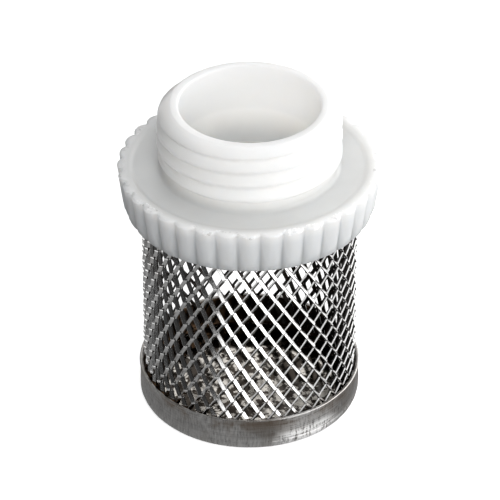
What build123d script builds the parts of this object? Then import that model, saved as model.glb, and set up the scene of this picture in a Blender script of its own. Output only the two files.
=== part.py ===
from build123d import *
from build123d.topology import SkipClean
import os
from math import cos, pi, radians, sin, tan

# Foot valve with strainer basket, for a G 1/2 suction line.
# Origin: centre of the cap's underside. +Z is the flow axis, from the strainer
# up to the threaded outlet. All sizes are in millimetres, all angles in degrees.
# Bearings are measured from +X towards +Y. Outlines to be revolved are (radius, z).

# ---------------------------------------------------------------- overall
total_height = 38.85  # cap underside to outlet rim
collar_bottom_z = 25.45
collar_top_z = 30.95

# ---------------------------------------------------------------- outlet thread, G 1/2
thread_major_r = 20.955 / 2
thread_pitch = 25.4 / 14
thread_depth = 0.640327 * thread_pitch
thread_minor_r = thread_major_r - thread_depth
thread_flank_angle = 27.5  # half of the 55 degree form
thread_root_width = thread_pitch / 6  # truncated root, as wide as the crest
thread_land_bottom_z = 32.6  # lowest full-diameter crest
thread_core_r = 9.0  # inner sleeve that the threaded layer stands on
thread_layer_bottom_z = 31.5
thread_turns = 4
groove_overcut = 0.15  # the cutter stands this far proud of the crest
thread_front_crest_z = 36.35  # a crest on the -Y side
front_bearing = 270.0
thread_start_angle = 80.0  # bearing where the groove runs out
land_sectors = 12
land_clearance = 1.0  # degrees from the groove's run-out to the nearest sector line

rim_outer_r = 8.95  # flat end face, inside the lead-in chamfer
neck_r = 9.95
neck_foot_r = 0.55  # fillet between neck and collar
outlet_bore_r = 7.95
outlet_bore_chamfer = 0.2

# ---------------------------------------------------------------- grip collar
grip_lobes = 36
lobe_tip_top_r = 14.95
lobe_valley_top_r = 14.3
lobe_tip_bottom_r = 14.15
lobe_valley_bottom_r = 13.6
collar_bottom_round = 0.95
collar_top_round = 0.5
collar_dish_depth = 0.2
collar_dish_outer_r = 13.1
collar_dish_slope_width = 0.5
dish_z = collar_top_z - collar_dish_depth

# ---------------------------------------------------------------- retaining ring
snap_ring_z = 23.4
snap_ring_thickness = 0.6
snap_groove_r = 9.65
snap_groove_slack = 0.03  # above and below the ring
snap_groove_bottom_z = snap_ring_z - snap_groove_slack
snap_groove_top_z = snap_ring_z + snap_ring_thickness + snap_groove_slack
snap_ring_r = snap_groove_r - 0.05
snap_ring_inner_r = 8.2
snap_ring_gap = 26.0  # opening between its ends, in degrees
snap_ring_gap_bearing = 90
ear_place_r = 7.95
ear_from_gap = 5.5  # degrees from the ring's end to the ear's centre
ear_r = 0.95
ear_eye_r = 0.45

# ---------------------------------------------------------------- cartridge pocket in the body
boss_r = 10.4
boss_bottom_z = 23.2
boss_chamfer = 0.25
pocket_r = 9.05
pocket_top_z = 28.65
pocket_mouth_flare = 0.2
pocket_mouth_height = 0.15

# ---------------------------------------------------------------- strainer basket
basket_outer_r = 12.2
basket_wall = 0.5
basket_inner_r = basket_outer_r - basket_wall
basket_socket_gap = 0.05
basket_bottom_z = 0.95
basket_top_z = 28.85
cells_around = 39
cell_height = 3.03  # long way of the diamond, node to node
opening_half_width = 0.60
opening_half_height = 1.02
opening_overcut = 0.6  # the cutter's reach beyond either face of the wall
basket_node_z = 18.49  # height of one row of knuckles
basket_node_angle = -89.5  # bearing of one knuckle in that row
lowest_opening_row = -10
highest_opening_row = 4

# ---------------------------------------------------------------- bottom cap
cap_height = 4.2
cap_outer_r = 12.65
cap_sheet = 0.4
cap_corner_r = 0.9
cap_lip_height = 0.5  # bulged part of the outer wall
cap_lip_offset = 0.02  # rim's outer edge beyond the wall
cap_mouth_flare = 0.1
cap_mouth_height = 0.35

# ---------------------------------------------------------------- cartridge housing
cartridge_r = pocket_r - 0.1
housing_bottom_z = 24.05
housing_top_z = 27.95
housing_chamfer = 0.2
throat_r = 5.2
throat_mouth_chamfer = 0.5
throat_top_chamfer = 0.1
seat_lip_r = 5.8
seat_z = 25.25
seat_recess_r = 6.95  # outer wall of the ring-shaped recess around the seat lip
seat_recess_depth = 0.4
chamber_r = 7.9
chamber_flare_height = 1.5
o_ring_floor_r = 8.1
o_ring_groove_z = (24.85, 25.95)
o_ring_height = 1.04
o_ring_corner_r = 0.38

# ---------------------------------------------------------------- poppet and its seal
disc_r = 6.4
disc_bottom_z = 25.45
disc_top_z = 26.35
disc_chamfer = 0.15
nose_height = 0.9
nose_tip_r = 2.6
nose_base_r = 4.55
nose_base_height = 0.1
seal_inner_r = 4.85
seal_outer_r = 6.25
seal_top_z = 26.0
seal_bevel_width = 0.15
seal_bevel_top_z = disc_bottom_z - 0.05
stem_r = 1.25
stem_top_z = 32.55
stem_chamfer = 0.4
stop_r = 1.95
stop_top_z = 28.3

# ---------------------------------------------------------------- cartridge guide
hub_bottom_z = 30.55
hub_top_z = 32.05
hub_r = 2.3
hub_chamfer = 0.2
hub_flange_r = 3.2
hub_flange_thickness = 0.6
hub_bore_r = stem_r + 0.07
guide_legs = 4
first_leg_bearing = 45
leg_width = 1.2
leg_outer_r = 8.3  # inside the guide's rim
leg_inner_r = 1.8  # inside the hub

# ---------------------------------------------------------------- valve spring
spring_mean_r = 2.45
spring_wire_r = 0.2
spring_turns = 4.5
spring_end_gap = 0.03
spring_low_z = disc_top_z + spring_wire_r + spring_end_gap
spring_high_z = hub_bottom_z - spring_wire_r - spring_end_gap

# ---------------------------------------------------------------- modelling aids
arc_inset = 1 - cos(pi / 4)  # quarter arc's middle to either end tangent, per unit radius
past = 1.0  # how far cutters and joined cores reach past the faces they cross


def at(r, bearing):
    """A flat point at radius r."""
    return (r * cos(radians(bearing)), r * sin(radians(bearing)))


def radial_plane(bearing):
    """The plane through Z at a bearing: local x runs outwards, local y is +Z."""
    a = radians(bearing)
    return Plane(origin=(0, 0, 0), x_dir=(cos(a), sin(a), 0), z_dir=(sin(a), -cos(a), 0))


def turned(outline):
    """A closed (radius, z) outline revolved about Z."""
    with BuildPart() as ring:
        with BuildSketch(Plane.XZ):
            with BuildLine():
                Polyline(*outline, close=True)
            make_face()
        revolve(axis=Axis.Z)
    return ring.part


# ---------------------------------------------------------------- threaded body
def make_groove_turn(turn):
    """Cutter for one turn of the right-hand groove, with a truncated root."""
    start_z = (
        thread_front_crest_z
        - thread_pitch / 2
        + thread_pitch * (thread_start_angle - front_bearing) / 360
        - thread_pitch
    )
    cut_depth = thread_depth + groove_overcut
    root_half = thread_root_width / 2
    mouth_half = root_half + cut_depth * tan(radians(thread_flank_angle))
    with BuildPart() as groove_turn:
        with BuildLine(Plane.XY.offset(start_z + turn * thread_pitch)) as groove_path:
            Helix(pitch=thread_pitch, height=thread_pitch, radius=thread_minor_r)
        with BuildSketch(
            Plane(
                origin=groove_path.line @ 0,
                x_dir=(1, 0, 0),
                z_dir=groove_path.line % 0,
            )
        ):
            with BuildLine():
                Polyline(
                    (0, -root_half),
                    (cut_depth, -mouth_half),
                    (cut_depth, mouth_half),
                    (0, root_half),
                    close=True,
                )
            make_face()
        sweep(path=groove_path.line, is_frenet=True)
    return groove_turn.part.rotate(Axis.Z, thread_start_angle)


def make_thread_layer():
    """The outlet's outer layer, with the groove cut one turn at a time."""
    blank_height = 9.5  # reaches above the rim and is trimmed by the envelope
    envelope_r = thread_major_r + 0.3
    chamfer_bottom_z = total_height - (thread_major_r - rim_outer_r)
    grooves = [make_groove_turn(turn) for turn in range(thread_turns)]
    with BuildPart() as thread_layer:
        with BuildSketch(Plane.XY.offset(thread_layer_bottom_z)):
            Circle(thread_major_r)
            Circle(thread_core_r, mode=Mode.SUBTRACT)
        extrude(amount=blank_height)
        for groove in grooves:
            add(groove, mode=Mode.SUBTRACT)
        # lead-in chamfer at the rim, run-out chamfer above the neck
        with BuildSketch(Plane.XZ):
            with BuildLine():
                Polyline(
                    (0, thread_layer_bottom_z),
                    (neck_r, thread_layer_bottom_z),
                    (neck_r, thread_land_bottom_z - (thread_major_r - neck_r)),
                    (thread_major_r, thread_land_bottom_z),
                    (envelope_r, thread_land_bottom_z),
                    (envelope_r, chamfer_bottom_z),
                    (thread_major_r, chamfer_bottom_z),
                    (rim_outer_r, total_height),
                    (0, total_height),
                    close=True,
                )
            make_face()
        revolve(axis=Axis.Z, mode=Mode.INTERSECT)
    return thread_layer.part


def make_layer_sector(layer, index):
    """One equal sector of the layer, counted from just past the groove's run-out."""
    sector_arc = 360 / land_sectors
    # section that holds the whole layer, (radius, z)
    section = ((8, 30), (12, 30), (12, 42), (8, 42))
    with BuildPart() as layer_sector:
        add(layer)
        with BuildSketch(
            radial_plane(thread_start_angle + land_clearance + index * sector_arc)
        ):
            with BuildLine():
                Polyline(*section, close=True)
            make_face()
        revolve(axis=Axis.Z, revolution_arc=sector_arc, mode=Mode.INTERSECT)
    return layer_sector.part


def make_thread_sleeve():
    """The sectors joined with their lines kept, so each crest is a row of short arcs."""
    layer = make_thread_layer()
    sectors = [make_layer_sector(layer, i) for i in range(land_sectors)]
    with SkipClean():
        with BuildPart() as thread_sleeve:
            for sector in sectors:
                add(sector, clean=False)
    return thread_sleeve.part


def make_body_core():
    """Collar, neck, outlet core and cartridge boss, bored out."""
    lobe_half = 180 / grip_lobes
    with BuildPart() as body_core:
        # tapered collar with rounded lobes; one lobe is centred on -Y
        for z, tip, valley in (
            (collar_bottom_z, lobe_tip_bottom_r, lobe_valley_bottom_r),
            (collar_top_z, lobe_tip_top_r, lobe_valley_top_r),
        ):
            with BuildSketch(Plane.XY.offset(z)):
                with BuildLine():
                    for i in range(grip_lobes):
                        mid = -90 + i * 360 / grip_lobes
                        ThreePointArc(
                            at(valley, mid - lobe_half),
                            at(tip, mid),
                            at(valley, mid + lobe_half),
                        )
                make_face()
        loft(ruled=True)

        # round the collar's outer edges; the arcs end just beyond the lobe tips
        with BuildSketch(Plane.XZ):
            with BuildLine():
                low_start = (lobe_tip_bottom_r - collar_bottom_round, collar_bottom_z)
                low_mid = (low_start[0] + 0.77, low_start[1] + 0.36)
                low_end = (
                    lobe_tip_bottom_r + 0.2,
                    collar_bottom_z + collar_bottom_round + 0.1,
                )
                high_start = (lobe_tip_top_r + 0.02, collar_top_z - collar_top_round)
                high_mid = (high_start[0] - 0.19, high_start[1] + 0.35)
                high_end = (lobe_tip_top_r - collar_top_round - 0.1, collar_top_z)
                Line((0, collar_bottom_z), low_start)
                ThreePointArc(low_start, low_mid, low_end)
                Line(low_end, high_start)
                ThreePointArc(high_start, high_mid, high_end)
                Line(high_end, (0, collar_top_z))
                Line((0, collar_top_z), (0, collar_bottom_z))
            make_face()
        revolve(axis=Axis.Z, mode=Mode.INTERSECT)

        # shallow dish in the collar's top
        dish_mouth_r = collar_dish_outer_r + collar_dish_slope_width
        with BuildSketch(Plane.XZ):
            with BuildLine():
                Polyline(
                    (0, collar_top_z + past),
                    (dish_mouth_r, collar_top_z + past),
                    (dish_mouth_r, collar_top_z),
                    (collar_dish_outer_r, dish_z),
                    (0, dish_z),
                    close=True,
                )
            make_face()
        revolve(axis=Axis.Z, mode=Mode.SUBTRACT)

        # neck and outlet core, with the foot fillet and the lead-in chamfer
        with BuildSketch(Plane.XZ):
            with BuildLine():
                foot = (neck_r + neck_foot_r, dish_z)
                foot_mid = (
                    neck_r + neck_foot_r * arc_inset,
                    dish_z + neck_foot_r * arc_inset,
                )
                neck = (neck_r, dish_z + neck_foot_r)
                Line((0, dish_z - past), (foot[0], dish_z - past))
                Line((foot[0], dish_z - past), foot)
                ThreePointArc(foot, foot_mid, neck)
                Polyline(
                    neck,
                    (neck_r, thread_layer_bottom_z),
                    (thread_core_r, thread_layer_bottom_z),
                    (thread_core_r, total_height - (thread_core_r - rim_outer_r)),
                    (rim_outer_r, total_height),
                    (0, total_height),
                )
                Line((0, total_height), (0, dish_z - past))
            make_face()
        revolve(axis=Axis.Z)

        # boss that carries the cartridge below the collar, sunk 0.5 into it
        with BuildSketch(Plane.XY.offset(boss_bottom_z)):
            Circle(boss_r)
        extrude(amount=collar_bottom_z - boss_bottom_z + 0.5)
        chamfer(
            body_core.edges().filter_by(GeomType.CIRCLE).group_by(Axis.Z)[0],
            length=boss_chamfer,
        )

        # outlet bore, cartridge pocket and snap ring groove
        with BuildSketch(Plane.XZ):
            with BuildLine():
                Polyline(
                    (0, boss_bottom_z - past),
                    (pocket_r + pocket_mouth_flare, boss_bottom_z - past),
                    (pocket_r + pocket_mouth_flare, boss_bottom_z),
                    (pocket_r, boss_bottom_z + pocket_mouth_height),
                    (pocket_r, snap_groove_bottom_z),
                    (snap_groove_r, snap_groove_bottom_z),
                    (snap_groove_r, snap_groove_top_z),
                    (pocket_r, snap_groove_top_z),
                    (pocket_r, pocket_top_z),
                    (outlet_bore_r, pocket_top_z),
                    (outlet_bore_r, total_height - outlet_bore_chamfer),
                    (outlet_bore_r + outlet_bore_chamfer, total_height),
                    (outlet_bore_r + outlet_bore_chamfer, total_height + past),
                    (0, total_height + past),
                    close=True,
                )
            make_face()
        revolve(axis=Axis.Z, mode=Mode.SUBTRACT)

        # ring-shaped socket for the basket
        socket_top_z = basket_top_z + basket_socket_gap
        with BuildSketch(Plane.XY.offset(collar_bottom_z - past)):
            Circle(basket_outer_r + basket_socket_gap)
            Circle(basket_inner_r - basket_socket_gap, mode=Mode.SUBTRACT)
        extrude(amount=socket_top_z - collar_bottom_z + past, mode=Mode.SUBTRACT)
    return body_core.part


def make_threaded_body():
    """One nylon moulding: the core with the threaded sleeve around its outlet."""
    sleeve = make_thread_sleeve()
    core = make_body_core()
    with SkipClean():
        with BuildPart() as threaded_body:
            add(core)
            add(sleeve, clean=False)
    return threaded_body.part


# ---------------------------------------------------------------- strainer basket
def make_opening_cutter():
    """Diamond bar through the basket's wall on the +X side."""
    with BuildPart() as opening_cutter:
        with BuildSketch(Plane.YZ.offset(basket_inner_r - opening_overcut)):
            with BuildLine():
                Polyline(
                    (opening_half_width, 0),
                    (0, opening_half_height),
                    (-opening_half_width, 0),
                    (0, -opening_half_height),
                    close=True,
                )
            make_face()
        extrude(amount=basket_wall + 2 * opening_overcut)
    return opening_cutter.part


def make_mesh_basket():
    """Stainless expanded metal tube: staggered diamonds, long way upright."""
    cutter = make_opening_cutter()
    places = []
    for row in range(lowest_opening_row, highest_opening_row + 1):
        shift = 0.5 if row % 2 == 0 else 0.0
        row_z = basket_node_z + row * cell_height / 2
        for i in range(cells_around):
            bearing = basket_node_angle + (i + shift) * 360 / cells_around
            places.append(Location((0, 0, row_z), (0, 0, bearing)))
    with BuildPart() as mesh_basket:
        with BuildSketch(Plane.XY.offset(basket_bottom_z)):
            Circle(basket_outer_r)
            Circle(basket_inner_r, mode=Mode.SUBTRACT)
        extrude(amount=basket_top_z - basket_bottom_z)
        with Locations(*places):
            add(cutter, mode=Mode.SUBTRACT)
    return mesh_basket.part


# ---------------------------------------------------------------- bottom cap
def make_bottom_cap():
    """Pressed stainless cup that closes the basket, with a slightly bulged lip."""
    inner_r = cap_outer_r - cap_sheet
    inner_corner_r = cap_corner_r - cap_sheet
    floor_r = inner_r - inner_corner_r
    lip_r = cap_outer_r + cap_lip_offset
    with BuildPart() as bottom_cap:
        with BuildSketch(Plane.XZ):
            with BuildLine():
                Polyline((0, 0), (cap_outer_r - cap_corner_r, 0))
                ThreePointArc(
                    (cap_outer_r - cap_corner_r, 0),
                    (cap_outer_r - cap_corner_r * arc_inset, cap_corner_r * arc_inset),
                    (cap_outer_r, cap_corner_r),
                )
                Line((cap_outer_r, cap_corner_r), (cap_outer_r, cap_height - cap_lip_height))
                ThreePointArc(
                    (cap_outer_r, cap_height - cap_lip_height),
                    (cap_outer_r + 0.09, cap_height - 0.18),
                    (lip_r, cap_height),
                )
                Line((lip_r, cap_height), (inner_r + cap_mouth_flare, cap_height))
                Line(
                    (inner_r + cap_mouth_flare, cap_height),
                    (inner_r, cap_height - cap_mouth_height),
                )
                Line((inner_r, cap_height - cap_mouth_height), (inner_r, cap_corner_r))
                ThreePointArc(
                    (inner_r, cap_corner_r),
                    (
                        inner_r - inner_corner_r * arc_inset,
                        cap_sheet + inner_corner_r * arc_inset,
                    ),
                    (floor_r, cap_sheet),
                )
                Line((floor_r, cap_sheet), (0, cap_sheet))
                Line((0, cap_sheet), (0, 0))
            make_face()
        revolve(axis=Axis.Z)
    return bottom_cap.part


# ---------------------------------------------------------------- check cartridge
def make_cartridge_housing():
    """Acetal ring with the valve seat, a flared chamber and an outside seal groove."""
    groove_low_z, groove_high_z = o_ring_groove_z
    recess_z = seat_z - seat_recess_depth
    return turned((
        (throat_r + throat_mouth_chamfer, housing_bottom_z),
        (cartridge_r - housing_chamfer, housing_bottom_z),
        (cartridge_r, housing_bottom_z + housing_chamfer),
        (cartridge_r, groove_low_z),
        (o_ring_floor_r, groove_low_z),
        (o_ring_floor_r, groove_high_z),
        (cartridge_r, groove_high_z),
        (cartridge_r, housing_top_z),
        (chamber_r, housing_top_z),
        (chamber_r, seat_z + chamber_flare_height),
        (seat_recess_r, seat_z),
        (seat_recess_r, recess_z),
        (seat_lip_r + 0.15, recess_z),
        (seat_lip_r - 0.1, seat_z),
        (throat_r + throat_top_chamfer, seat_z),
        (throat_r, seat_z - throat_top_chamfer),
        (throat_r, housing_bottom_z + throat_mouth_chamfer),
    ))


def make_cartridge_guide():
    """Acetal spider above the housing: a rim, four legs and a hub for stem and spring."""
    with BuildPart() as cartridge_guide:
        with BuildSketch(Plane.XZ):
            with BuildLine():
                Polyline(
                    (chamber_r, housing_top_z),
                    (cartridge_r, housing_top_z),
                    (cartridge_r, pocket_top_z),
                    (chamber_r, pocket_top_z),
                    close=True,
                )
            make_face()
        revolve(axis=Axis.Z)

        # legs sloping up from the rim to the hub
        for i in range(guide_legs):
            with BuildSketch(radial_plane(first_leg_bearing + i * 360 / guide_legs)):
                with BuildLine():
                    Polyline(
                        (leg_outer_r, housing_top_z),
                        (7.7, housing_top_z),
                        (6.7, pocket_top_z + 0.1),
                        (hub_flange_r - 0.4, hub_bottom_z),
                        (leg_inner_r, hub_bottom_z),
                        (leg_inner_r, hub_top_z - 0.5),
                        (hub_r, hub_top_z - 0.5),
                        (7.85, pocket_top_z),
                        (leg_outer_r, pocket_top_z),
                        close=True,
                    )
                make_face()
            extrude(amount=leg_width / 2, both=True)

        # hub with a flange at its foot
        with BuildSketch(Plane.XY.offset(hub_bottom_z)):
            Circle(hub_flange_r)
        extrude(amount=hub_flange_thickness)
        with BuildSketch(Plane.XY.offset(hub_bottom_z)):
            Circle(hub_r)
        extrude(amount=hub_top_z - hub_bottom_z)
        chamfer(
            cartridge_guide.edges().filter_by(GeomType.CIRCLE).group_by(Axis.Z)[-1],
            length=hub_chamfer,
        )
        with BuildSketch(Plane.XY.offset(hub_bottom_z - past)):
            Circle(hub_bore_r)
        extrude(amount=hub_top_z - hub_bottom_z + 2 * past, mode=Mode.SUBTRACT)
    return cartridge_guide.part


def make_poppet():
    """Acetal disc with a coned nose, a stem and a stop shoulder."""
    return turned((
        (0, disc_bottom_z - nose_height),
        (nose_tip_r, disc_bottom_z - nose_height),
        (nose_base_r, disc_bottom_z - nose_base_height),
        (seal_inner_r, disc_bottom_z),
        (seal_inner_r, seal_top_z),
        (seal_outer_r, seal_top_z),
        (seal_outer_r, disc_bottom_z),
        (disc_r, disc_bottom_z),
        (disc_r, disc_top_z - disc_chamfer),
        (disc_r - disc_chamfer, disc_top_z),
        (stop_r, disc_top_z),
        (stop_r, stop_top_z),
        (stem_r, stop_top_z),
        (stem_r, stem_top_z - stem_chamfer),
        (stem_r - stem_chamfer, stem_top_z),
        (0, stem_top_z),
    ))


def make_poppet_seal():
    """Nitrile ring set in the disc's underside. It rests on the seat lip."""
    return turned((
        (seal_inner_r, seal_bevel_top_z),
        (seal_inner_r + seal_bevel_width, seat_z),
        (seal_outer_r - seal_bevel_width, seat_z),
        (seal_outer_r, seal_bevel_top_z),
        (seal_outer_r, seal_top_z),
        (seal_inner_r, seal_top_z),
    ))


def make_valve_spring():
    """Light stainless spring between the disc and the guide hub."""
    spring_height = spring_high_z - spring_low_z
    with BuildPart() as valve_spring:
        with BuildLine(Plane.XY.offset(spring_low_z)) as spring_path:
            Helix(
                pitch=spring_height / spring_turns,
                height=spring_height,
                radius=spring_mean_r,
            )
        with BuildSketch(
            Plane(origin=spring_path.line @ 0, x_dir=(1, 0, 0), z_dir=spring_path.line % 0)
        ):
            Circle(spring_wire_r)
        sweep(path=spring_path.line, is_frenet=True)
    return valve_spring.part


def make_cartridge_o_ring():
    """Nitrile ring as it sits squeezed between the housing's groove and the pocket."""
    with BuildPart() as cartridge_o_ring:
        with BuildSketch(Plane.XZ):
            with Locations(((o_ring_floor_r + pocket_r) / 2, sum(o_ring_groove_z) / 2)):
                RectangleRounded(pocket_r - o_ring_floor_r, o_ring_height, o_ring_corner_r)
        revolve(axis=Axis.Z)
    return cartridge_o_ring.part


def make_retaining_ring():
    """Flat stainless snap ring, open towards +Y, with two eyed ears for pliers."""
    half_gap = snap_ring_gap / 2
    gap_cutter_r = 14  # well outside the ring
    with BuildPart() as retaining_ring:
        with BuildSketch(Plane.XY.offset(snap_ring_z)):
            Circle(snap_ring_r)
            Circle(snap_ring_inner_r, mode=Mode.SUBTRACT)
            with BuildLine():
                Polyline(
                    (0, 0),
                    at(gap_cutter_r, snap_ring_gap_bearing - half_gap),
                    at(gap_cutter_r, snap_ring_gap_bearing + half_gap),
                    close=True,
                )
            make_face(mode=Mode.SUBTRACT)
            for side in (-1, 1):
                ear_bearing = snap_ring_gap_bearing + side * (half_gap + ear_from_gap)
                with Locations(at(ear_place_r, ear_bearing)):
                    Circle(ear_r)
                    Circle(ear_eye_r, mode=Mode.SUBTRACT)
        extrude(amount=snap_ring_thickness)
    return retaining_ring.part


# ---------------------------------------------------------------- export
pieces = {
    "threaded_body": make_threaded_body,
    "mesh_basket": make_mesh_basket,
    "bottom_cap": make_bottom_cap,
    "cartridge_housing": make_cartridge_housing,
    "cartridge_guide": make_cartridge_guide,
    "poppet": make_poppet,
    "poppet_seal": make_poppet_seal,
    "valve_spring": make_valve_spring,
    "cartridge_o_ring": make_cartridge_o_ring,
    "retaining_ring": make_retaining_ring,
}

os.makedirs("parts", exist_ok=True)
for name, make_piece in pieces.items():
    piece = make_piece()
    piece.label = name
    export_step(piece, f"parts/{name}.step")
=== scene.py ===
"""Check valve with a threaded outlet and a strainer basket.

The valve stands upright on the floor, its axis on Z and its pressed cap at z = 0.
Above the cap come the expanded metal basket, the lobed collar and the threaded
outlet. The front is -Y and the right is +X. Meshes are worked out in millimetres,
bearings in degrees from +X towards +Y; materials and stage are in metres.
"""

import math

import bpy
import numpy as np
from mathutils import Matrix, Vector


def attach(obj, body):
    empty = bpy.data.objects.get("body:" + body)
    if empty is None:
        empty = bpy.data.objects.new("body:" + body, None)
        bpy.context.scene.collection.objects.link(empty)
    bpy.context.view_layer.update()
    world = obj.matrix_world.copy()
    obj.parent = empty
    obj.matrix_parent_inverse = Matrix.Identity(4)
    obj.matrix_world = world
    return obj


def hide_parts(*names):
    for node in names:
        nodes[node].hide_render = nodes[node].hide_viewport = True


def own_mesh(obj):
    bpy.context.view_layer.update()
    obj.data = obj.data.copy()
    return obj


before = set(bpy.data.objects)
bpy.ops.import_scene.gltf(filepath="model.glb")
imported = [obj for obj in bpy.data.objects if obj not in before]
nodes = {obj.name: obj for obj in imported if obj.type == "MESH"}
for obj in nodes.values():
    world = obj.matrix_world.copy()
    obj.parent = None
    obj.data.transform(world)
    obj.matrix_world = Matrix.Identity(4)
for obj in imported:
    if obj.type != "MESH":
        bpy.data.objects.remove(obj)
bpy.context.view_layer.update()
MM = 0.001

# ------------------------------------------------------------------ sizes, in mm
HEIGHT = 38.85
FRONT_DEG = 270

# outlet and its thread, 14 turns to the inch
MAJOR_R = 20.955 / 2
PITCH = 25.4 / 14
THREAD_DEPTH = 0.640327 * PITCH
THREAD_START_DEG = 80.0
FRONT_CREST_Z = 36.35
GROOVE_START_Z = FRONT_CREST_Z - 1.5 * PITCH - PITCH * (FRONT_DEG - THREAD_START_DEG) / 360
RIM_R = 8.95
BORE_R = 7.95
NECK_R = 9.95
LAND_BOTTOM = 32.6

# lobed collar, wider at its top than at its bottom
COLLAR_LOW, COLLAR_TOP = 25.45, 30.95
DISH = 0.2
LOBES = 36
TIP_TOP, VALLEY_TOP = 14.95, 14.3
TIP_LOW, VALLEY_LOW = 14.15, 13.6

# boss under the collar, with the pocket and its snap groove
BOSS_R, BOSS_LOW = 10.4, 23.2
POCKET_R, POCKET_TOP = 9.05, 28.65
SNAP_R, SNAP_LOW, SNAP_TOP = 9.65, 23.37, 24.03

# strainer basket
BASKET_R, BASKET_WALL = 12.2, 0.5
BASKET_LOW, BASKET_TOP = 0.95, 28.85
CELLS = 39  # cells round the basket
CELL_H = 3.03
NODE_Z, NODE_DEG = 18.49, -89.5  # place of one knuckle

# pressed cap
CAP_R, CAP_SHEET, CAP_CORNER, CAP_H = 12.65, 0.4, 0.9, 4.2

# room for the spring, between the poppet's disc and the hub
HUB_LOW = 30.55
SPRING_ROOM, SPRING_ROOM_LIFTED = 4.2, 2.0
DISC_TOP = HUB_LOW - SPRING_ROOM


# ------------------------------------------------------------------ shape helpers
def smooth(x, start, end):
    """Smoothstep from 0 at start to 1 at end."""
    t = np.clip((np.asarray(x, float) - start) / (end - start), 0, 1)
    return t * t * (3 - 2 * t)


def soft_positive(x, rounding):
    """A rounded max(0, x)."""
    return 0.5 * (x + np.sqrt(x * x + rounding * rounding))


def soft_clamp(x, low_rounding, high_rounding):
    """x held between 0 and 1, with rounded corners."""
    return soft_positive(x, low_rounding) - soft_positive(x - 1, high_rounding)


def wobble(x, y, seed=0.0):
    """A smooth repeatable unevenness of about +-1."""
    return (
        np.sin(1.7 * x + 2.3 * y + 1.1 + seed)
        + np.sin(3.1 * x - 1.9 * y + 4.2 + 2 * seed)
        + np.sin(-2.3 * x + 4.1 * y + 0.7 + 3 * seed)
        + np.sin(5.3 * x + 0.7 * y + 2.9 + 5 * seed)
    ) / 2.6


def arc(count, sweep=math.pi / 2, start=0.0):
    """(sine, cosine) pairs along an arc, from the share start of the sweep to its end."""
    return [(math.sin(a), math.cos(a)) for a in sweep * np.linspace(start, 1, count)]


def polar_points(radius, angle, z):
    x, y = radius * np.cos(angle), radius * np.sin(angle)
    return np.stack(np.broadcast_arrays(x, y, z), -1).reshape(-1, 3)


def grid_faces(count_u, count_v, wrap_u=True, wrap_v=True, flip=False):
    """Quads of a grid whose vertex (i, j) has index i * count_v + j."""
    i, j = np.meshgrid(
        np.arange(count_u if wrap_u else count_u - 1),
        np.arange(count_v if wrap_v else count_v - 1),
        indexing="ij",
    )
    next_i, next_j = (i + 1) % count_u, (j + 1) % count_v
    corners = [(i, j), (next_i, j), (next_i, next_j), (i, next_j)]
    quads = np.stack([a * count_v + b for a, b in corners], -1).reshape(-1, 4)
    return quads[:, ::-1] if flip else quads


def end_faces(pattern, last_ring):
    """The same quads on the first ring, turned over, and on the ring starting at last_ring."""
    return np.concatenate([pattern[:, ::-1], pattern + last_ring])


def mesh_object(name, points_mm, faces):
    """A smooth-shaded object made of quads."""
    mesh = bpy.data.meshes.new(name)
    points = np.asarray(points_mm, np.float64) * MM
    faces = np.asarray(faces, np.int32)
    mesh.vertices.add(len(points))
    mesh.vertices.foreach_set("co", points.astype(np.float32).ravel())
    mesh.loops.add(faces.size)
    mesh.loops.foreach_set("vertex_index", faces.ravel())
    mesh.polygons.add(len(faces))
    mesh.polygons.foreach_set("loop_start", np.arange(0, faces.size, 4, dtype=np.int32))
    mesh.polygons.foreach_set("loop_total", np.full(len(faces), 4, np.int32))
    mesh.polygons.foreach_set("use_smooth", np.full(len(faces), True))
    mesh.update(calc_edges=True)
    mesh.validate()
    piece = bpy.data.objects.new(name, mesh)
    bpy.context.scene.collection.objects.link(piece)
    return piece


# ------------------------------------------------------------------ threaded body
def thread_r(deg, z):
    """Outside radius of the outlet: a rounded 55 degree thread above a tapered land."""
    turn = (deg - THREAD_START_DEG) / 360.0
    turn = turn - np.floor(turn)
    turns_up = (z - GROOVE_START_Z) / PITCH - turn
    groove = np.clip(np.round(turns_up), 0, 3)
    distance = np.abs(turns_up - groove) * PITCH
    travel_deg = (turn + groove) * 360.0
    root_half = PITCH / 12
    flank = THREAD_DEPTH * math.tan(math.radians(27.5))
    cut = soft_clamp((root_half + flank - distance) / flank, 0.16, 0.16)
    cut = cut * smooth(travel_deg, 2, 34)  # the groove starts gradually
    land = MAJOR_R - np.clip(LAND_BOTTOM - z, 0, MAJOR_R - NECK_R)
    return np.minimum(land, np.maximum(MAJOR_R - THREAD_DEPTH * cut, RIM_R - 0.02))


def lobe_r(deg, z):
    """Radius of the collar's lobed side."""
    up = (z - COLLAR_LOW) / (COLLAR_TOP - COLLAR_LOW)
    tip = TIP_LOW + (TIP_TOP - TIP_LOW) * up
    valley = VALLEY_LOW + (VALLEY_TOP - VALLEY_LOW) * up
    step = 360.0 / LOBES
    offset = (deg + 90.0 + step / 2) % step - step / 2
    t = np.abs(offset) / (step / 2)  # 0 on a tip, 1 in a valley
    t = np.clip(1 - np.sqrt((1 - t) ** 2 + 0.045**2) + 0.001, 0, 1)
    return tip - (tip - valley) * t**2.5


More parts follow.
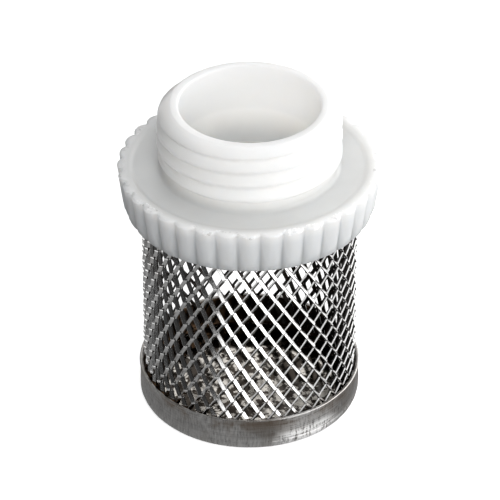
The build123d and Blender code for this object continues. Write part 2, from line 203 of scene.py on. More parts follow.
def make_body():
    """One closed profile of rings: up the inside, then down the outside."""
    bearings = 432
    deg = np.arange(bearings) * 360.0 / bearings - 90.0
    rings = []

    def add(radius, z):
        rings.append((np.full(bearings, radius), np.full(bearings, z)))

    # pocket with its snap groove, then the bore
    for radius, z in (
        (POCKET_R + 0.12, BOSS_LOW),
        (POCKET_R, BOSS_LOW + 0.15),
        (POCKET_R, SNAP_LOW),
        (SNAP_R, SNAP_LOW + 0.001),
        (SNAP_R, SNAP_TOP - 0.001),
        (POCKET_R, SNAP_TOP),
        (POCKET_R, 26.0),
        (POCKET_R, POCKET_TOP - 0.02),
        (POCKET_R - 0.02, POCKET_TOP),
        (BORE_R + 0.03, POCKET_TOP),
        (BORE_R, POCKET_TOP + 0.03),
    ):
        add(radius, z)
    for z in (29.6, 30.8, 32.0, 33.2, 34.4, 35.6, 36.8, 37.8):
        add(BORE_R, z)

    # rim: rolled inner edge, flat top, small outer edge
    inner_round, outer_round = 0.24, 0.17
    for sine, cosine in arc(7):
        add(BORE_R + inner_round * (1 - cosine), HEIGHT - inner_round + inner_round * sine)
    add(BORE_R + 0.45, HEIGHT)
    add(RIM_R - 0.22, HEIGHT)
    for sine, cosine in arc(5, sweep=math.pi / 4, start=0.2):
        add(RIM_R - 0.12 + outer_round * sine, HEIGHT - outer_round * (1 - cosine))

    # lead-in chamfer and thread
    for z in np.arange(HEIGHT - 0.14, 31.35, -0.075):
        chamfer = RIM_R + (HEIGHT - z)
        radius = np.minimum(thread_r(deg, z), chamfer)
        add(np.maximum(radius, NECK_R if z < 33.0 else RIM_R), z)

    # foot fillet of the neck, dished top of the collar
    foot = 0.55
    dish_z = COLLAR_TOP - DISH
    for sine, cosine in arc(8):
        add(NECK_R + foot * (1 - cosine), dish_z + foot * (1 - sine))
    for radius in (10.9, 11.4, 11.9, 12.4, 12.8, 13.05):
        add(radius, dish_z)
    add(13.2, dish_z + 0.05)
    add(13.38, dish_z + 0.13)
    add(13.55, COLLAR_TOP - 0.015)
    add(13.75, COLLAR_TOP)

    # rounded top edge of the lobes, then their drafted side
    edge = 0.30
    for sine, cosine in arc(8):
        z = COLLAR_TOP - edge + edge * cosine
        radius = lobe_r(deg, z) - edge + edge * sine
        if sine == 0:
            radius = np.minimum(radius, 14.1)
        add(radius, z)
    for z in np.linspace(COLLAR_TOP - edge - 0.3, COLLAR_LOW + 1.1, 9):
        add(lobe_r(deg, z), z)
    # the low edge is rounded about the axis, so the lobes die out into it
    low_edge = 0.95
    for sine, cosine in arc(10):
        z = COLLAR_LOW + low_edge * (1 - sine)
        limit = TIP_LOW + 0.06 - low_edge * (1 - cosine)
        radius = lobe_r(deg, z)
        add(radius - soft_positive(radius - limit, 0.12), z)

    # underside: basket socket, then the boss
    socket_out = BASKET_R + 0.05
    socket_in = BASKET_R - BASKET_WALL - 0.05
    for radius, z in (
        (12.9, COLLAR_LOW),
        (socket_out + 0.03, COLLAR_LOW),
        (socket_out, COLLAR_LOW + 0.03),
        (socket_out, 27.2),
        (socket_out, BASKET_TOP + 0.05),
        (socket_in, BASKET_TOP + 0.05),
        (socket_in, 27.2),
        (socket_in, COLLAR_LOW + 0.03),
        (socket_in - 0.03, COLLAR_LOW),
        (BOSS_R + 0.1, COLLAR_LOW),
        (BOSS_R, COLLAR_LOW - 0.1),
        (BOSS_R, BOSS_LOW + 0.25),
        (BOSS_R - 0.06, BOSS_LOW + 0.08),
        (BOSS_R - 0.25, BOSS_LOW),
        (POCKET_R + 0.4, BOSS_LOW),
    ):
        add(radius, z)

    radius = np.array([ring[0] for ring in rings]).T
    z = np.array([ring[1] for ring in rings]).T
    # a moulding's slight unevenness on the outside, never in the bore
    outside = (radius > 9.3) & (z > COLLAR_LOW + 0.01)
    angle = np.radians(deg)[:, None]
    cosine, sine = np.cos(angle), np.sin(angle)
    uneven = 0.012 * wobble(cosine * 4, sine * 4 + z * 0.8)
    uneven = uneven + 0.010 * wobble(cosine * 9 + z, sine * 9, seed=2.0)
    radius = radius + np.where(outside, uneven - 0.012, 0)
    return mesh_object(
        "threaded_body_moulding",
        polar_points(radius, angle, z),
        grid_faces(bearings, len(rings), flip=True),
    )


# ------------------------------------------------------------------ strainer basket
def basket_rows():
    """Ring places up a strip as a column, in half cells from the reference knuckle."""
    half_cell = CELL_H / 2
    marks = np.array([0, 0.03, 0.07, 0.14, 0.32, 0.68, 0.86, 0.93, 0.97])
    ends = (np.array([BASKET_LOW, BASKET_TOP]) - NODE_Z) / half_cell
    first, stop = math.floor(ends[0]), math.ceil(ends[1])
    rows = (np.arange(first, stop)[:, None] + marks).ravel()
    z = NODE_Z + rows * half_cell
    keep = (z > BASKET_LOW + 0.05) & (z < BASKET_TOP - 0.05)
    # the part hidden in the socket needs fewer rings
    sparse = np.tile(np.isin(marks, (0, 0.14, 0.86)), stop - first)
    keep &= sparse | (z < 26.0)
    return np.concatenate([ends[:1], rows[keep], ends[1:]])[:, None]


def make_basket():
    """Raised expanded metal: 78 upright strips that zigzag between knuckles. Every
    strip is turned about its length, left edge out and right edge in, so that each
    one is deep at its left knuckle and proud at its right one."""
    rows = basket_rows()
    ring_count = len(rows)
    z = NODE_Z + rows * CELL_H / 2
    in_socket = smooth(z, 24.4, 25.5)

    # the strips lie a little flatter in the cap and much flatter in the socket
    tilt = np.radians(33 + 2 * smooth(z, 4.0, 5.6) - 19 * in_socket)
    tilt_sin, tilt_cos = np.sin(tilt), np.cos(tilt)
    width, thick = 0.52, 0.21
    knuckle_gap = 0.03  # sideways, from a strip's middle to the knuckle's
    knuckle_depth = 0.14 - 0.11 * in_socket
    reach = knuckle_depth + (width * tilt_sin + thick * tilt_cos) / 2 + 0.02
    outer_r = 12.21 + 0.10 * smooth(z, 4.2, 6.5) - 0.10 * smooth(z, 24.0, 25.3)
    centre_r = outer_r - reach
    # rows ride higher at the back, except where the sheet is held at its ends
    free = smooth(z, BASKET_LOW, 3.2) * (1 - smooth(z, 26.4, BASKET_TOP))
    back_lift = 0.30 * CELL_H
    mid_r = 12.0
    knuckle_step = math.pi / CELLS * mid_r
    # share of a half row where two strips stay joined
    hold_left, hold_right = 0.015, 0.05

    # cross-section of a strip, rounded more at its outer right corner
    half_w, half_t = width / 2, thick / 2
    corner, big_corner = 0.022, 0.07
    along, out = np.array([
        (-half_w, half_t - corner),
        (-half_w + corner, half_t),
        (half_w - big_corner, half_t),
        (half_w, half_t - big_corner),
        (half_w, -half_t + corner),
        (half_w - corner, -half_t),
        (-half_w + corner, -half_t),
        (-half_w, -half_t + corner),
    ]).T
    sides = len(along)
    end_pattern = np.array([[0, 1, 2, 3], [0, 3, 4, 7], [4, 5, 6, 7]])
    strip_faces = np.concatenate([
        grid_faces(ring_count, sides, wrap_u=False, flip=True),
        end_faces(end_pattern, (ring_count - 1) * sides),
    ])

    def jitter(turn, spread, rise, seed):
        return 0.02 * wobble(np.cos(turn) * spread, np.sin(turn) * spread + rise * z, seed)

    points, faces, leans_right = [], [], []
    for k in range(2 * CELLS):
        parity = k % 2
        phase = (rows - parity) % 2
        share = np.minimum(phase, 2 - phase)  # 0 at the left knuckle, 1 at the right
        share = soft_clamp((share - hold_left) / (1 - hold_left - hold_right), 0.03, 0.08)
        left, right = math.pi * k / CELLS, math.pi * (k + 1) / CELLS
        left_x = knuckle_gap + jitter(left, 5, 0.37, 1.0)
        right_x = knuckle_step - knuckle_gap + jitter(right, 5, 0.37, 1.0)
        left_depth = -knuckle_depth + jitter(left, 3, 0.6, 6.0)
        right_depth = knuckle_depth + jitter(right, 3, 0.6, 6.0)
        middle_x = left_x * (1 - share) + right_x * share
        middle_depth = left_depth * (1 - share) + right_depth * share
        middle_depth = middle_depth + (0.008 if parity else -0.008)
        leans_right.append(np.append(np.diff(middle_x[:, 0]) > 0, False))

        around = middle_x + tilt_cos * along + tilt_sin * out
        depth = middle_depth - tilt_sin * along + tilt_cos * out
        base = math.radians(NODE_DEG) + left
        lift = back_lift * smooth(math.sin(base), -0.1, 0.8) * free
        points.append(polar_points(centre_r + depth, base + around / mid_r, z + lift))
        faces.append(strip_faces + k * ring_count * sides)
    faces = np.concatenate(faces)
    basket = mesh_object("mesh_basket_expanded_metal", np.concatenate(points), faces)
    basket.data.set_sharp_from_angle(angle=math.radians(33))

    # the left, outer sheared edge is matt and painted pale, as a highlight, where it faces up;
    # where it faces down it gets the inner side's painted shade
    columns = np.sort(faces % sides, axis=1)
    sheared = (columns[:, 0] == 0) & (columns[:, 1] == 0) & (columns[:, 2] == sides - 1)
    faces_up = np.concatenate(leans_right)[faces.min(axis=1) // sides]
    for name, marked in (
        ("cut_edge", sheared & faces_up),
        ("inner_side", (columns[:, 0] >= 2) | (sheared & ~faces_up)),
    ):
        attribute = basket.data.attributes.new(name, "FLOAT", "FACE")
        attribute.data.foreach_set("value", marked.astype(np.float32))
    return basket


# ------------------------------------------------------------------ bottom cap
def make_cap():
    """An open profile turned about the axis: underside, wall, lip, then the inside."""
    bearings = 360
    inner_r = CAP_R - CAP_SHEET
    inner_corner = CAP_CORNER - CAP_SHEET
    profile = [(r, 0.0) for r in (0.02, 1.5, 3.0, 5.0, 7.0, 9.0, 10.4, 11.2)]
    for sine, cosine in arc(9):
        profile.append((CAP_R - CAP_CORNER + CAP_CORNER * sine, CAP_CORNER * (1 - cosine)))
    # outside wall, as (height, offset from the cap's radius)
    profile += [(CAP_R + offset, z) for z, offset in (
        # a rolled line just above the corner
        (1.0, 0.0), (1.08, -0.045), (1.16, -0.06), (1.24, -0.045), (1.32, 0.0), (1.45, 0.02),
        # plain wall
        (1.7, 0.0), (2.1, 0.0), (2.5, 0.0), (2.9, 0.0), (3.3, 0.0), (3.6, 0.0),
        # lip
        (3.74, 0.03), (3.86, 0.065), (3.98, 0.085), (4.08, 0.08), (4.15, 0.06), (CAP_H, 0.0),
    )]
    profile += [
        (CAP_R - 0.12, CAP_H),
        (CAP_R - 0.24, CAP_H - 0.03),
        (inner_r + 0.06, CAP_H - 0.12),
        (inner_r, CAP_H - 0.35),
        (inner_r, 3.2),
        (inner_r, 2.4),
        (inner_r, 1.6),
    ]
    for sine, cosine in arc(6):
        radius = inner_r - inner_corner * (1 - cosine)
        profile.append((radius, CAP_SHEET + inner_corner * (1 - sine)))
    profile += [(r, CAP_SHEET) for r in (11.0, 10.0, 8.5, 7.0, 5.5, 4.0, 2.5, 1.2, 0.02)]
    radius, z = np.array(profile).T

    # the wall, the lip and the floor's upper face waver a little
    angle = np.radians(np.arange(bearings) * 360.0 / bearings)[:, None]
    cosine, sine = np.cos(angle), np.sin(angle)
    waver = 0.020 * wobble(cosine * 3.1, sine * 3.1 + z * 0.25, seed=0.5)
    waver = waver + 0.010 * wobble(cosine * 11, sine * 11 + z * 0.5, seed=1.5)
    wall = smooth(radius, 11.9, 12.3)
    outside = np.where(radius > inner_r + 0.03, 1.0, 0.0)
    radius = radius + wall * waver * outside - 0.012 * wall * outside
    z = z + 0.030 * smooth(z, 3.9, 4.2) * wobble(cosine * 4, sine * 4, seed=3.0)
    floor_face = (np.abs(z - CAP_SHEET) < 1e-3) & (radius < 11.3)
    waver = 0.035 * wobble(radius * cosine * 0.35, radius * sine * 0.35, seed=4.0) - 0.01
    z = z + np.where(floor_face, waver, 0)
    return mesh_object(
        "bottom_cap_pressed",
        polar_points(radius, angle, z),
        grid_faces(bearings, len(profile), wrap_v=False),
    )


# ------------------------------------------------------------------ valve spring
def make_spring():
    wire_r, coil_r, turns = 0.2, 2.45, 4.5
    rings, sides = 400, 12
    low = DISC_TOP + wire_r + 0.03
    high = HUB_LOW - wire_r - 0.03
    t = np.linspace(0, 1, rings)[:, None]
    turn = 2 * math.pi * turns * t
    rise = (high - low) / (2 * math.pi * turns)  # per radian
    length = math.hypot(coil_r, rise)
    # each ring stands across the wire: outwards, and up square to the tangent
    section = 2 * math.pi * np.arange(sides) / sides
    radius = coil_r + wire_r * np.cos(section)
    up = wire_r * np.sin(section)
    points = np.stack([
        radius * np.cos(turn) + up * np.sin(turn) * rise / length,
        radius * np.sin(turn) - up * np.cos(turn) * rise / length,
        low + (high - low) * t + up * coil_r / length,
    ], -1).reshape(-1, 3)
    end_pattern = np.array([[0, j, j + 1, j + 2] for j in range(1, sides - 1, 2)])
    faces = np.concatenate([
        grid_faces(rings, sides, wrap_u=False),
        end_faces(end_pattern, (rings - 1) * sides),
    ])
    return mesh_object("valve_spring_coil", points, faces)


# ------------------------------------------------------------------ shader helpers
class Nodes:
    """Builds a node tree; values may be numbers, tuples or output sockets."""

    def __init__(self, tree):
        self.tree = tree
        tree.nodes.clear()

    def put(self, value, socket):
        if isinstance(value, bpy.types.NodeSocket):
            self.tree.links.new(value, socket)
        elif isinstance(value, tuple):
            # colours take an alpha of 1, vectors do not
            socket.default_value = (*value, 1.0)[: len(socket.default_value)]
        else:
            socket.default_value = value

    def new(self, kind, inputs=None, **properties):
        node = self.tree.nodes.new("ShaderNode" + kind)
        for name, value in properties.items():
            setattr(node, name, value)
        for key, value in (inputs or {}).items():
            self.put(value, node.inputs[key])
        return node

    def calc(self, operation, a, b=0.0, c=0.0, clamp=False):
        inputs = {0: a, 1: b, 2: c}
        return self.new("Math", inputs, operation=operation, use_clamp=clamp).outputs[0]

    def add(self, a, b):
        return self.calc("ADD", a, b)

    def mul(self, a, b):
        return self.calc("MULTIPLY", a, b)

    def one_minus(self, value, clamp=False):
        return self.calc("SUBTRACT", 1.0, value, clamp=clamp)

    def above(self, value, limit):
        return self.calc("GREATER_THAN", value, limit)

    def below(self, value, limit):
        return self.calc("LESS_THAN", value, limit)

    def rise(self, value, start, span):
        """0 up to start, then up to 1 over span."""
        return self.calc("DIVIDE", self.calc("SUBTRACT", value, start), span, clamp=True)

    def fall(self, value, start, span):
        """0 down to start, then up to 1 over span below it."""
        return self.calc("DIVIDE", self.calc("SUBTRACT", start, value), span, clamp=True)

    def smoothstep(self, value, start, end, low=0.0, high=1.0):
        if end < start:
            start, end, low, high = end, start, high, low
        inputs = {
            "Value": value, "From Min": start, "From Max": end, "To Min": low, "To Max": high
        }
        return self.new("MapRange", inputs, interpolation_type="SMOOTHSTEP").outputs[0]

    def split(self, vector):
        return self.new("SeparateXYZ", {0: vector}).outputs

    def ray(self, kind):
        return self.new("LightPath").outputs[f"Is {kind} Ray"]


class Material(Nodes):
    """A Principled material driven by object coordinates."""

    def __init__(self, name):
        self.material = bpy.data.materials.new(name)
        self.material.use_nodes = True
        super().__init__(self.material.node_tree)
        self.output = self.new("OutputMaterial")
        self.principled = self.new("BsdfPrincipled")
        self.put(self.principled.outputs[0], self.output.inputs[0])
        self.coord = self.new("TexCoord").outputs["Object"]

    def set(self, **inputs):
        """Principled inputs by name, with underscores for spaces."""
        for name, value in inputs.items():
            self.put(value, self.principled.inputs[name.replace("_", " ")])

    def noise(self, scale, detail, roughness=0.5, distortion=0.0,
              stretch=(1.0, 1.0, 1.0), vector=None):
        """Noise over object coordinates multiplied by stretch, or over vector."""
        if vector is None:
            vector = self.new("Mapping", {0: self.coord, "Scale": stretch}).outputs[0]
        inputs = {
            "Scale": scale, "Detail": detail, "Roughness": roughness,
            "Distortion": distortion, "Vector": vector,
        }
        return self.new("TexNoise", inputs).outputs["Fac"]

    def ramp(self, factor, *stops):
        """Grey ramp; each stop is (position, level)."""
        node = self.new("ValToRGB", {0: factor})
        elements = node.color_ramp.elements
        while len(elements) < len(stops):
            elements.new(0.5)
        for element, (position, level) in zip(elements, stops):
            element.position = position
            element.color = (level, level, level, 1)
        return node.outputs[0]

    def mix(self, factor, first, second):
        """first where factor is 0, second where it is 1."""
        return self.new("Mix", {0: factor, 6: first, 7: second}, data_type="RGBA").outputs[2]

    def bump(self, height, strength, distance, normal=None):
        inputs = {"Strength": strength, "Distance": distance, "Height": height}
        if normal is not None:
            inputs["Normal"] = normal
        return self.new("Bump", inputs).outputs[0]

    def attribute(self, name):
        return self.new("Attribute", attribute_name=name).outputs["Fac"]

    def axis_distance(self, x, y):
        return self.calc("SQRT", self.add(self.mul(x, x), self.mul(y, y)))


def metal(name):
    m = Material(name)
    m.set(Metallic=1.0)
    return m


# ------------------------------------------------------------------ materials
def nylon():
    m = Material("nylon_moulded")
    x, y, z = m.split(m.coord)
    # natural nylon, warmer in the outlet; painted shade makes the collar darker and cooler,
    # and its top darker than its side
    outlet = m.rise(z, start=0.0295, span=0.0035)
    radius = m.axis_distance(x, y)
    side = m.rise(radius, start=0.0137, span=0.0006)
    collar_painted_shade = m.mix(side, (0.465, 0.483, 0.495), (0.71, 0.725, 0.735))
    base = m.mix(outlet, collar_painted_shade, (0.965, 0.948, 0.918))
    cloud = m.noise(scale=160, detail=3)
    base = m.mix(m.ramp(cloud, (0.35, 0.0), (0.7, 0.25)), base, (0.84, 0.85, 0.84))

    # a few dark specks, in the few cells whose random colour is high
    cells = m.new("TexVoronoi", {"Scale": 260, "Vector": m.coord})
    near = m.ramp(cells.outputs["Distance"], (0.0, 1.0), (0.035, 1.0), (0.06, 0.0))
    cell_value = m.split(cells.outputs["Color"])[0]
    chosen = m.ramp(cell_value, (0.0, 0.0), (0.955, 0.0), (0.97, 1.0))
    base = m.mix(m.mul(m.mul(near, chosen), 0.75), base, (0.25, 0.24, 0.23))

    # patches of dark nicks and pale painted glints along the collar's top edge
    nick = m.noise(scale=1500, detail=3, roughness=0.6)
    place = m.noise(scale=420, detail=2)
    edge = m.mul(m.above(radius, 0.01395), m.above(z, 0.03055))
    edge = m.mul(edge, m.ramp(place, (0.50, 0.0), (0.60, 1.0)))
    painted_glints = m.mul(edge, m.ramp(nick, (0.54, 0.0), (0.60, 0.85)))
    base = m.mix(painted_glints, base, (0.99, 0.99, 0.985))
    dark = m.mul(edge, m.ramp(nick, (0.38, 0.6), (0.43, 0.0)))
    base = m.mix(dark, base, (0.42, 0.41, 0.40))

    grain = m.noise(scale=900, detail=5, roughness=0.6)
    # a painted glow standing in for light that comes through the wall into the depth of the
    # bore
    deep = m.fall(z, start=0.0335, span=0.0045)
    glow = m.mul(deep, m.below(radius, 0.0083))
    m.set(
        Base_Color=base,
        Subsurface_Weight=1.0,
        Subsurface_Radius=(1.0, 0.95, 0.9),
        Subsurface_Scale=0.004,
        IOR=1.5,
        Roughness=m.ramp(grain, (0.3, 0.30), (0.7, 0.44)),
        Coat_Weight=0.25,
        Coat_Roughness=0.14,
        Emission_Color=(1.0, 0.985, 0.95),
        Emission_Strength=m.mul(glow, 0.25),
    )
    fine = m.noise(scale=1600, detail=4, roughness=0.6)
    broad = m.noise(scale=330, detail=3, stretch=(1, 1, 0.6))
    # faint rings round the axis
    ring = m.noise(scale=1.0, detail=3, stretch=(6, 6, 900))
    normal = m.bump(broad, strength=0.35, distance=0.00012)
    normal = m.bump(fine, strength=0.22, distance=0.00003, normal=normal)
    m.set(Normal=m.bump(ring, strength=0.16, distance=0.00003, normal=normal))
    return m.material


def mesh_steel():
    m = metal("mesh_steel_bright")
    tone = m.noise(scale=420, detail=5, roughness=0.6)
    base = m.mix(tone, (0.70, 0.695, 0.69), (0.88, 0.88, 0.875))
    # brown stain, strongest low down
    stain = m.noise(scale=130, detail=4, roughness=0.6, distortion=0.6)
    x, _, z = m.split(m.coord)
    low = m.one_minus(m.rise(z, start=0.0035, span=0.004), clamp=True)
    stain = m.ramp(stain, (0.55, 0.0), (0.68, 0.7))
    brown = m.mul(stain, m.add(m.mul(low, 0.7), 0.22))
    base = m.mix(brown, base, (0.20, 0.11, 0.06))
    # the up-facing sheared edges are matt and painted pale as a highlight, with painted shade
    # making them dark at the far left
    edge = m.attribute("cut_edge")
    lit = m.calc("DIVIDE", m.add(x, 0.0105), 0.0060, clamp=True)
    base = m.mix(edge, base, m.mix(lit, (0.10, 0.095, 0.09), (0.93, 0.925, 0.915)))
    m.set(Metallic=m.one_minus(m.mul(edge, 0.80)))
    # the side towards the inside, and the sheared edges that face down, are duller and painted
    # almost black as shade
    inner = m.attribute("inner_side")
    shade_variation = m.noise(scale=330, detail=4, roughness=0.6)
    shade_variation = m.ramp(shade_variation, (0.38, 1.0), (0.62, 0.93))
    base = m.mix(m.mul(inner, shade_variation), base, (0.020, 0.014, 0.010))
    roughness = m.ramp(m.noise(scale=700, detail=3), (0.3, 0.11), (0.7, 0.22))
    roughness = m.add(roughness, m.mul(inner, 0.25))
    roughness = m.add(roughness, m.mul(edge, 0.25))
    grain = m.noise(scale=1500, detail=4, roughness=0.6)
    m.set(
        Base_Color=base,
        Roughness=roughness,
        Normal=m.bump(grain, strength=0.35, distance=0.00004),
    )
    return m.material


def cap_steel():
    m = metal("cap_steel_pressed")
    x, y, z = m.split(m.coord)
    bearing = m.calc("ARCTAN2", y, x)
    radius = m.axis_distance(x, y)

    def wrapped(around, up, layer, detail, roughness):
        """Noise wrapped round the axis, with its own fineness around and up."""
        place = {0: m.mul(bearing, around), 1: m.mul(z, up), 2: layer}
        vector = m.new("CombineXYZ", place).outputs[0]
        return m.noise(scale=1.0, detail=detail, roughness=roughness, vector=vector)

    # drawing marks and patches on the wall
    marks = wrapped(around=55.0, up=620.0, layer=0.0, detail=5, roughness=0.62)
    fine = wrapped(around=190.0, up=1100.0, layer=3.0, detail=4, roughness=0.6)
    patch = m.noise(scale=230, detail=5, roughness=0.62, distortion=0.5)
    broad = m.noise(scale=70, detail=3)
    streaks = m.ramp(marks, (0.35, 0.0), (0.65, 1.0))
    wall = m.mix(streaks, (0.30, 0.295, 0.29), (0.70, 0.69, 0.68))
    wall = m.mix(m.ramp(fine, (0.45, 0.0), (0.68, 0.7)), wall, (0.80, 0.79, 0.78))
    wall = m.mix(m.ramp(patch, (0.5, 0.0), (0.62, 0.6)), wall, (0.24, 0.185, 0.14))
    wall = m.mix(m.ramp(broad, (0.45, 0.0), (0.6, 0.35)), wall, (0.22, 0.21, 0.20))
    # fine pale and dark rings, and a bright band low on the wall
    rings = wrapped(around=3.0, up=5200.0, layer=7.0, detail=3, roughness=0.6)
    wall = m.mix(m.ramp(rings, (0.50, 0.0), (0.64, 0.22)), wall, (0.78, 0.77, 0.755))
    wall = m.mix(m.ramp(rings, (0.34, 0.25), (0.46, 0.0)), wall, (0.13, 0.12, 0.11))
    bright_low_band = m.fall(z, start=0.0019, span=0.0006)
    bright_low_band = m.mul(bright_low_band, m.ramp(marks, (0.35, 0.15), (0.62, 0.75)))
    wall = m.mix(bright_low_band, wall, (0.80, 0.79, 0.775))
    # painted highlight at the right of the front, in broken streaks, most of all low down
    painted_highlight = m.ramp(m.mul(x, 40.0), (0.10, 0.0), (0.19, 1.0), (0.34, 1.0), (0.41, 0.0))
    painted_highlight = m.mul(painted_highlight, m.below(y, 0.0))
    low = m.fall(z, start=0.0024, span=0.0006)
    low = m.add(m.mul(low, 0.65), 0.35)
    highlight_breakup = m.add(m.mul(marks, 0.5), m.mul(rings, 0.5))
    painted_highlight = m.mul(m.mul(painted_highlight, low), m.ramp(highlight_breakup, (0.43, 0.0), (0.49, 1.0)))
    wall = m.mix(painted_highlight, wall, (0.99, 0.985, 0.975))
    m.set(Metallic=m.one_minus(m.mul(painted_highlight, 0.9)))
    # painted shade: darker towards the left
    shade = m.fall(x, start=-0.001, span=0.0100)
    wall = m.mix(m.mul(shade, 0.32), wall, (0.10, 0.095, 0.09))
    # stain under the lip, and the lip itself painted paler as a highlight
    top = m.rise(z, start=0.0026, span=0.0010)
    stain = m.mul(top, m.ramp(patch, (0.42, 0.0), (0.56, 0.6)))
    wall = m.mix(stain, wall, (0.20, 0.145, 0.10))
    lip = m.above(z, 0.00406)
    wall = m.mix(m.mul(lip, 0.45), wall, (0.66, 0.65, 0.63))

    # inside: a floor mottled with pale painted glints and dark painted shade, and a wall
    # painted dark brown as shade; underside: plain grey
    inner = m.below(radius, 0.01232)
    mottle = m.noise(scale=950, detail=5, roughness=0.6)
    mottle = m.ramp(mottle, (0.50, 0.0), (0.54, 1.0))
    floor_colour = m.mix(mottle, (0.055, 0.045, 0.036), (0.76, 0.72, 0.66))
    shaded_inner_wall = m.mix(patch, (0.035, 0.022, 0.014), (0.12, 0.075, 0.045))
    at_wall = m.mul(m.above(radius, 0.01175), m.above(z, 0.00042))
    inside = m.mix(at_wall, floor_colour, shaded_inner_wall)
    inside = m.mix(m.below(z, 0.0003), inside, (0.42, 0.41, 0.40))

    # the floor's upper face is polished, and its bump is weaker
    roughness = m.ramp(marks, (0.3, 0.24), (0.7, 0.40))
    polished = m.mul(m.below(radius, 0.01175), m.above(z, 0.0003))
    m.set(
        Base_Color=m.mix(inner, wall, inside),
        Roughness=m.mix(polished, roughness, (0.09, 0.09, 0.09)),
        Anisotropic=0.3,
    )
    height = m.add(m.mul(marks, 0.7), m.mul(fine, 0.5))
    unpolished = m.one_minus(polished)
    height = m.mul(m.add(height, m.mul(rings, 0.5)), unpolished)
    normal = m.bump(height, strength=0.55, distance=0.00007)
    height = m.mul(patch, m.add(m.mul(unpolished, 0.85), 0.15))
    m.set(Normal=m.bump(height, strength=0.25, distance=0.00008, normal=normal))
    return m.material


def acetal():
    m = Material("acetal_satin")
    tone = m.noise(scale=240, detail=4)
    sheen = m.noise(scale=900, detail=3)
    grain = m.noise(scale=1300, detail=4, roughness=0.6, stretch=(1, 1, 2))
    m.set(
        Base_Color=m.mix(tone, (0.80, 0.79, 0.76), (0.88, 0.87, 0.85)),
        Subsurface_Weight=0.12,
        Subsurface_Scale=0.0006,
        IOR=1.48,
        Roughness=m.ramp(sheen, (0.3, 0.34), (0.7, 0.46)),
        Normal=m.bump(grain, strength=0.2, distance=0.00003),
    )
    return m.material


def nitrile():
    m = Material("nitrile_matt")
    tone = m.noise(scale=500, detail=4, roughness=0.6)
    grain = m.noise(scale=2400, detail=4, roughness=0.6)
    m.set(
        Base_Color=m.mix(tone, (0.018, 0.018, 0.019), (0.045, 0.045, 0.046)),
        Roughness=m.ramp(tone, (0.3, 0.55), (0.7, 0.72)),
        Normal=m.bump(grain, strength=0.3, distance=0.00002),
    )
    return m.material


def spring_steel():
    m = metal("spring_steel_drawn")
    tone = m.noise(scale=600, detail=4, roughness=0.6, stretch=(1, 1, 3))
    grain = m.noise(scale=2200, detail=3, roughness=0.6)
    m.set(
        Base_Color=m.mix(tone, (0.48, 0.475, 0.47), (0.66, 0.66, 0.655)),
        Roughness=m.ramp(tone, (0.3, 0.22), (0.7, 0.36)),
        Normal=m.bump(grain, strength=0.25, distance=0.00002),
    )
    return m.material


def give(piece, material):
    """Make material the piece's only one."""
    piece.data.materials.clear()
    piece.data.materials.append(material)
    for polygon in piece.data.polygons:
        polygon.material_index = 0


# ------------------------------------------------------------------ the valve
nylon_mat, mesh_mat, cap_mat = nylon(), mesh_steel(), cap_steel()
acetal_mat, nitrile_mat, spring_mat = acetal(), nitrile(), spring_steel()

for make, material, replaced, slot in (
    (make_body, nylon_mat, "threaded_body", "nylon"),
    (make_basket, mesh_mat, "mesh_basket", "mesh_steel"),
    (make_cap, cap_mat, "bottom_cap", "cap_steel"),
):
    piece = make()
    give(piece, material)
    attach(piece, "valve_body")
    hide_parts(replaced)

# the spring is rebuilt and given a mesh of its own
spring = make_spring()
give(spring, spring_mat)
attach(spring, "valve_body")
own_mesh(spring)
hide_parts("valve_spring")

for name, material in (
    ("threaded_body", nylon_mat),
    ("mesh_basket", mesh_mat),
    ("bottom_cap", cap_mat),
    ("cartridge_housing", acetal_mat),
    ("cartridge_guide", acetal_mat),
    ("poppet", acetal_mat),
    ("poppet_seal", nitrile_mat),
    ("valve_spring", spring_mat),
    ("cartridge_o_ring", nitrile_mat),
    ("retaining_ring", spring_mat),
):
    give(nodes[name], material)

# ------------------------------------------------------------------ stage
scene = bpy.context.scene


def floor_white():
    """An even white to the camera; a table lit at its right to all other rays."""
    m = Material("floor_white")
    x, y, _ = m.split(m.coord)
    # falls off towards the left and slightly towards the front
    across = m.add(x, m.mul(y, 0.35))
    lit = m.smoothstep(across, start=0.020, end=0.085, low=0.12, high=1.05)
    light_path = m.new("LightPath")
    seen = light_path.outputs["Is Camera Ray"]
    glossy = light_path.outputs["Is Glossy Ray"]
    # reflections see the table twice as bright, and a bright part at the far left
    gain = m.calc("MULTIPLY_ADD", glossy, 1.0, 1.0)
    far_left = m.smoothstep(m.mul(x, -1.0), start=0.05, end=0.11, low=0.0, high=1.2)
    left_glow = m.mul(far_left, glossy)
    unseen_level = m.add(m.mul(lit, gain), left_glow)
    strength = m.new("Mix", {0: seen, 2: unseen_level, 3: 0.62}, data_type="FLOAT")
    emission = m.new("Emission", {0: (1.0, 1.0, 1.0), 1: strength.outputs[0]})
    m.set(
        Base_Color=m.mix(seen, (0.10, 0.10, 0.10), (0.85, 0.85, 0.85)),
        Roughness=0.9,
        Specular_IOR_Level=0.0,
    )
    both = m.new("AddShader", {0: m.principled.outputs[0], 1: emission.outputs[0]})
    m.put(both.outputs[0], m.output.inputs[0])
    return m.material


def make_floor():
    half = 3.0
    mesh = bpy.data.meshes.new("floor")
    corners = [(-half, -half, 0), (half, -half, 0), (half, half, 0), (-half, half, 0)]
    mesh.from_pydata(corners, [], [(0, 1, 2, 3)])
    floor = bpy.data.objects.new("floor", mesh)
    scene.collection.objects.link(floor)
    floor.location = (0, 0, -0.00004)
    mesh.materials.append(floor_white())
    return floor


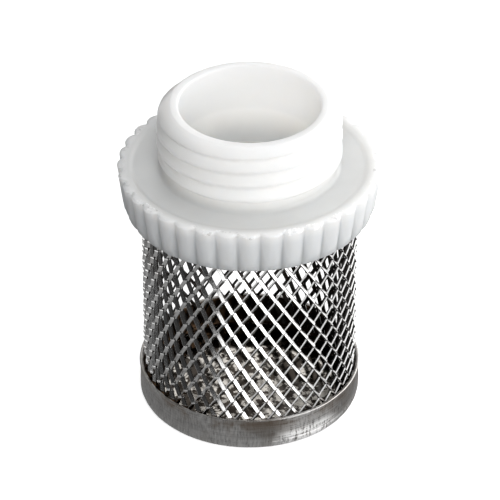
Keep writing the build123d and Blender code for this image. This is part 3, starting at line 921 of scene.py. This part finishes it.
def make_world():
    """White to the camera. For light and reflections a studio with a big bright box
    on the right, a box behind, a light ceiling and a faint left side."""
    world = bpy.data.worlds.new("studio")
    scene.world = world
    world.use_nodes = True
    w = Nodes(world.node_tree)
    output = w.new("OutputWorld")
    x, y, z = w.split(w.new("TexCoord").outputs["Generated"])
    azimuth = w.calc("ARCTAN2", x, w.mul(y, -1.0))  # 0 in front, positive to the right
    elevation = w.calc("ARCSINE", z)

    def step(angle, start_deg, end_deg):
        return w.smoothstep(angle, math.radians(start_deg), math.radians(end_deg))

    def box(side_a, side_b, edge):
        """Two azimuth edges and one elevation edge, each (dark, full) in degrees."""
        sides = w.mul(step(azimuth, *side_a), step(azimuth, *side_b))
        return w.mul(sides, step(elevation, *edge))

    right_box = box(side_a=(29, 47), side_b=(165, 150), edge=(44, 28))
    back_sides = w.add(step(azimuth, 150, 165), step(azimuth, -150, -165))
    back_box = w.mul(back_sides, step(elevation, 8, 20))
    ceiling = step(elevation, 40, 62)
    left_box = box(side_a=(-20, -50), side_b=(-150, -135), edge=(-5, 25))
    # a low strip on the left that only reflections pick up
    strip = box(side_a=(-48, -62), side_b=(-145, -130), edge=(22, 8))
    glossy = w.ray("Glossy")

    def by_ray(level, glossy_extra):
        return w.calc("MULTIPLY_ADD", glossy, glossy_extra, level)

    right_light = w.mul(right_box, by_ray(level=2.1, glossy_extra=1.1))
    light = w.add(right_light, by_ray(level=0.12, glossy_extra=-0.08))
    for part in (
        w.mul(back_box, 0.9),
        w.mul(ceiling, by_ray(level=0.35, glossy_extra=0.20)),
        w.mul(left_box, by_ray(level=0.06, glossy_extra=-0.03)),
        w.mul(w.mul(strip, glossy), 0.12),
    ):
        light = w.add(light, part)
    studio = w.new("Background", {0: (1.0, 1.0, 1.0), 1: light})
    white = w.new("Background", {0: (1.0, 1.0, 1.0), 1: 1.0})
    shaders = {0: w.ray("Camera"), 1: studio.outputs[0], 2: white.outputs[0]}
    w.put(w.new("MixShader", shaders).outputs[0], output.inputs[0])


def fill_light(name, place, size, power, color=(1, 1, 1)):
    """A square light aimed at the valve and left out of reflections."""
    light = bpy.data.lights.new(name, "AREA")
    light.shape = "RECTANGLE"
    light.size = light.size_y = size
    light.energy = power
    light.color = color
    lamp = bpy.data.objects.new(name, light)
    scene.collection.objects.link(lamp)
    lamp.location = place
    lamp.rotation_mode = "QUATERNION"
    aim = Vector((0, 0, 0.03)) - Vector(place)
    lamp.rotation_quaternion = aim.to_track_quat("-Z", "Y")
    lamp.visible_glossy = False


def make_camera():
    """A long lens in front, looking down at a point just under the outlet's rim."""
    elevation = math.radians(32.64)
    distance = 450.43 * MM
    target = Vector((0, 0, (HEIGHT - 2.5) * MM))
    data = bpy.data.cameras.new("camera")
    data.sensor_width = 36.0
    data.sensor_fit = "HORIZONTAL"
    data.lens = 290.196
    data.shift_x = 0.00112
    data.shift_y = -0.2555
    data.clip_start = 0.01
    data.clip_end = 20
    camera = bpy.data.objects.new("camera", data)
    scene.collection.objects.link(camera)
    backward = Vector((0, -math.cos(elevation), math.sin(elevation)))
    camera.location = target + backward * distance
    camera.rotation_mode = "QUATERNION"
    camera.rotation_quaternion = (-backward).to_track_quat("-Z", "Y")
    scene.camera = camera


make_floor()
make_world()
fill_light("front_fill", place=(0.04, -0.39, 0.30), size=0.22, power=1.40)
fill_light(
    "left_fill", place=(-0.35, -0.10, 0.22), size=0.25, power=0.05, color=(0.97, 0.99, 1.0)
)
make_camera()

scene.view_settings.view_transform = "Standard"
scene.view_settings.look = "None"
